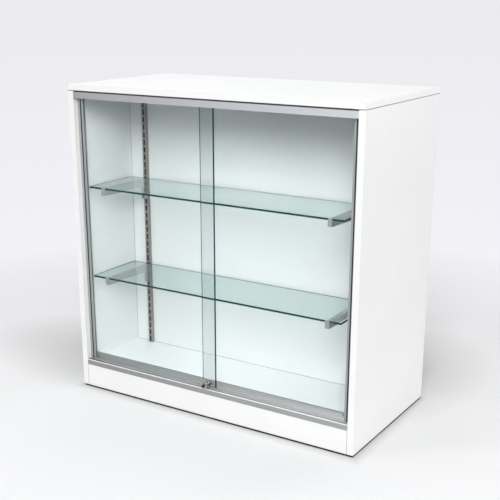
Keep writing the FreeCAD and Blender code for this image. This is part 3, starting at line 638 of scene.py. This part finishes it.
def finish_metal():
    top = brushed(
        "anodised_top", TOP_ALUMINIUM, DRAWN_ALONG, TOP_ROUGH, TOP_METAL_SHARE, top_track_light_and_shade)
    bottom = brushed(
        "anodised_bottom", LOW_ALUMINIUM, DRAWN_ALONG, BOTTOM_ROUGH, BOTTOM_METAL_SHARE, bottom_track_light_and_shade)
    jamb = brushed(
        "anodised_upright", ALUMINIUM, DRAWN_UPRIGHT, JAMB_ROUGH, JAMB_METAL_SHARE, jamb_tone_and_light)
    dress(["top_track"], top)
    dress(["bottom_track"], bottom)
    dress(["left_jamb", "right_jamb"], jamb)
    for name in STANDARDS:
        dress([name], galvanised("plated_" + name, STANDARD_STEEL, STANDARD_METAL_SHARE, slotted=name))
    brackets = [f"{level}_{side}_bracket" for level in ("upper", "lower") for side in ("left", "right")]
    dress(brackets, galvanised("plated_bracket", GALVANISED, BRACKET_METAL_SHARE))
    screws = ["track_screws", "jamb_screws", "standard_screws", "cam_bolts", "lock_bolt", "lock_nut"]
    dress(screws, polished("bright_zinc", STEEL, ZINC_ROUGH))
    dress(["cam_discs"], brushed("cast_zinc", ZINC, EVEN, CAST_ROUGH))
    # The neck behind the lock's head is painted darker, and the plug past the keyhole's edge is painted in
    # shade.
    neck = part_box("lock_barrel")[0][1] + LOCK_HEAD_DEEP
    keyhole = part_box("lock_plug")[0][1] + KEYHOLE_EDGE_DEEP
    dress(["lock_barrel"], polished("plated_lock", CHROME, LOCK_ROUGH, (neck, SHADED_NECK_METAL)))
    dress(["lock_plug"], polished("plated_plug", PLUG_METAL, ZINC_ROUGH, (keyhole, SHADED)))


def finish_plastics():
    dress(["left_jamb_insert", "right_jamb_insert"], moulded("black_strip", BLACK_PVC, PVC_ROUGH))
    slides = [f"{side}_door_{kind}" for side in ("left", "right") for kind in ("glides", "guides")]
    dress([*slides, "lock_washers"], moulded("grey_nylon", GREY_NYLON, GREY_NYLON_ROUGH))
    dress(["floor_glides"], moulded("black_nylon", BLACK_NYLON, BLACK_NYLON_ROUGH))
    dress(["door_bumpers"], moulded("black_rubber", BLACK_RUBBER, RUBBER_ROUGH))
    dress(["upper_shelf_pads", "lower_shelf_pads"], clear_pad("clear_pads"))
    dress(["carcass_dowels"], beech("beech"))


def finish_glass():
    dress(["left_door_glass"], float_glass("left_door_glass", "Y", DOOR_TINT, ARRIS))
    dress(["right_door_glass"], float_glass("right_door_glass", "Y", DOOR_TINT, FINE_ARRIS))
    for name in ("upper_glass_shelf", "lower_glass_shelf"):
        dress([name], float_glass(name, "Z", SHELF_TINT, ARRIS))


# Stage

# Floor: its size, and the distances from the origin between which it fades out.
FLOOR_SIZE = 18.0
FADE_SPAN = (0.85, 1.9)

# Shade along the plinth: how far inside its outline it starts, how far out it reaches, and its share.
CONTACT_EDGE = 0.001
CONTACT_FADE = 0.034
CONTACT_SHARE = 0.26

# Soft shadows to the left of the counter and behind it: centre, radii and share at the centre.
SOFT_SHADES = (
    ((-0.50, 0.05), (0.58, 0.34), 0.42),
    ((0.33, 0.38), (0.26, 0.45), 0.30),
)

# Rises of a direction between which the backdrop's tone changes: level is zero, straight up is one.
BACKDROP_RISES = (-0.26, -0.03)

# Strength of the even light, and the diffuse bounces below which a ray still sees the backdrop.
AROUND_STRENGTH = 0.36
FIRST_BOUNCE = 0.5

# Lamps: name, place, size, and power in watts.
LAMP_AIM = (0.0, 0.0, 0.45)
LAMPS = (
    ("key", (1.9, -3.7, 2.95), 1.7, 145.0),
    ("left_fill", (-2.6, -3.0, 2.5), 1.4, 42.0),
    ("top", (-0.7, 0.3, 3.2), 2.2, 33.0),
    ("back_fill", (1.8, 4.0, 1.7), 2.0, 44.0),
    ("right_fill", (3.5, -0.9, 1.6), 2.2, 45.0),
)


def oval_shade(tree, centre, radii, depth_share):
    """Share of a soft oval shadow on the floor, deepest at its centre."""
    squares = []
    for axis, middle, radius in zip("XY", centre, radii):
        offset = math_node(tree, "SUBTRACT", axis_of(tree, axis), middle)
        offset = math_node(tree, "DIVIDE", offset, radius)
        squares.append(math_node(tree, "MULTIPLY", offset, offset))
    distance = math_node(tree, "SQRT", math_node(tree, "ADD", *squares))
    return spread(tree, distance, RISING_SHARES, (depth_share, 0.0))


def floor_shade(tree):
    """Share of shade on the floor: full under the plinth, fading outwards, with two soft shadows."""
    low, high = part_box("left_side_panel")[0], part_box("right_side_panel")[1]
    distances = []
    for axis, start, end in zip("XY", low, high):
        away = apart(tree, axis_of(tree, axis), (start + end) / 2)
        distances.append(math_node(tree, "SUBTRACT", away, (end - start) / 2 - CONTACT_EDGE))
    outside = widest(tree, distances)
    under = math_node(tree, "LESS_THAN", outside, 0.0)
    contact = spread(tree, outside, (0.0, CONTACT_FADE), (CONTACT_SHARE, 0.0))
    soft = [oval_shade(tree, *shade) for shade in SOFT_SHADES]
    return widest(tree, [under, contact, *soft])


def floor_paint():
    """Pale paint that turns clear far out; glossy pieces see the backdrop's colour in it."""
    material, tree = new_material("studio_floor")
    place = node(tree, "NewGeometry")
    length = node(tree, "VectorMath")
    length.operation = "LENGTH"
    feed(tree, length.inputs[0], place.outputs["Position"])
    solid = node(tree, "BsdfDiffuse", Color=mixed(tree, floor_shade(tree), FLOOR_NEAR, FLOOR_UNDER))
    clear = node(tree, "BsdfTransparent")
    seen = blended(tree, spread(tree, length.outputs["Value"], FADE_SPAN), solid, clear)
    glow = node(tree, "Emission", Color=BACKDROP)
    whole = blended(tree, ray_share(tree, "Is Glossy Ray"), seen, glow)
    node(tree, "OutputMaterial", Surface=whole.outputs[0])
    return material


def make_floor():
    """Floor that fades into the backdrop and keeps the counter's shadow."""
    bpy.ops.mesh.primitive_plane_add(size=FLOOR_SIZE, location=(0, 0, 0))
    floor = bpy.context.object
    floor.name = "studio_floor"
    floor.data.materials.append(floor_paint())


def make_world():
    """Even surroundings; the camera, metal and glass see a backdrop, a little brighter low down."""
    world = bpy.data.worlds.new("studio")
    bpy.context.scene.world = world
    world.use_nodes = True
    tree = world.node_tree
    tree.nodes.clear()
    rise = spread(tree, vector_part(tree, "Generated", "Z"), BACKDROP_RISES)
    around = node(tree, "Background", Color=AROUND, Strength=AROUND_STRENGTH)
    seen = node(tree, "Background", Color=mixed(tree, rise, BACKDROP_LOW, BACKDROP_HIGH))
    share = ray_share(tree, "Is Camera Ray", "Is Glossy Ray", "Is Transmission Ray")
    bounces = node(tree, "LightPath").outputs["Diffuse Depth"]
    direct = math_node(tree, "LESS_THAN", bounces, FIRST_BOUNCE)
    whole = blended(tree, math_node(tree, "MULTIPLY", share, direct), around, seen)
    node(tree, "OutputWorld", Surface=whole.outputs[0])


def make_lamps():
    """Square soft lamps, all aimed at one point."""
    for name, spot, size, power in LAMPS:
        data = bpy.data.lights.new(name, "AREA")
        data.shape = "SQUARE"
        data.size = size
        data.energy = power
        lamp = bpy.data.objects.new(name, data)
        bpy.context.collection.objects.link(lamp)
        lamp.location = spot
        lamp.rotation_mode = "QUATERNION"
        lamp.rotation_quaternion = (Vector(LAMP_AIM) - Vector(spot)).to_track_quat("-Z", "Y")


def make_camera():
    """The photograph's camera, shifted to its principal point."""
    yaw, pitch, roll = (math.radians(angle) for angle in (YAW, PITCH, ROLL))
    back = Vector((math.sin(yaw) * math.cos(pitch), -math.cos(yaw) * math.cos(pitch), math.sin(pitch)))
    right = Vector((math.cos(yaw), math.sin(yaw), 0.0))
    up = back.cross(right)
    rolled_right = right * math.cos(roll) + up * math.sin(roll)
    rolled_up = up * math.cos(roll) - right * math.sin(roll)
    data = bpy.data.cameras.new("camera")
    data.sensor_width = SENSOR_MM
    data.lens = FOCAL_PIXELS / FRAME_PIXELS * SENSOR_MM
    data.shift_x = (FRAME_PIXELS / 2 - PRINCIPAL_POINT[0]) / FRAME_PIXELS
    data.shift_y = (PRINCIPAL_POINT[1] - FRAME_PIXELS / 2) / FRAME_PIXELS
    camera = bpy.data.objects.new("camera", data)
    bpy.context.collection.objects.link(camera)
    turn = Matrix((rolled_right, rolled_up, back)).transposed().to_4x4()
    camera.matrix_world = Matrix.Translation(CAMERA_SPOT) @ turn
    bpy.context.scene.camera = camera


finish_boards()
finish_metal()
finish_plastics()
finish_glass()
make_floor()
make_world()
make_lamps()
make_camera()
bpy.context.scene.view_settings.view_transform = "Standard"
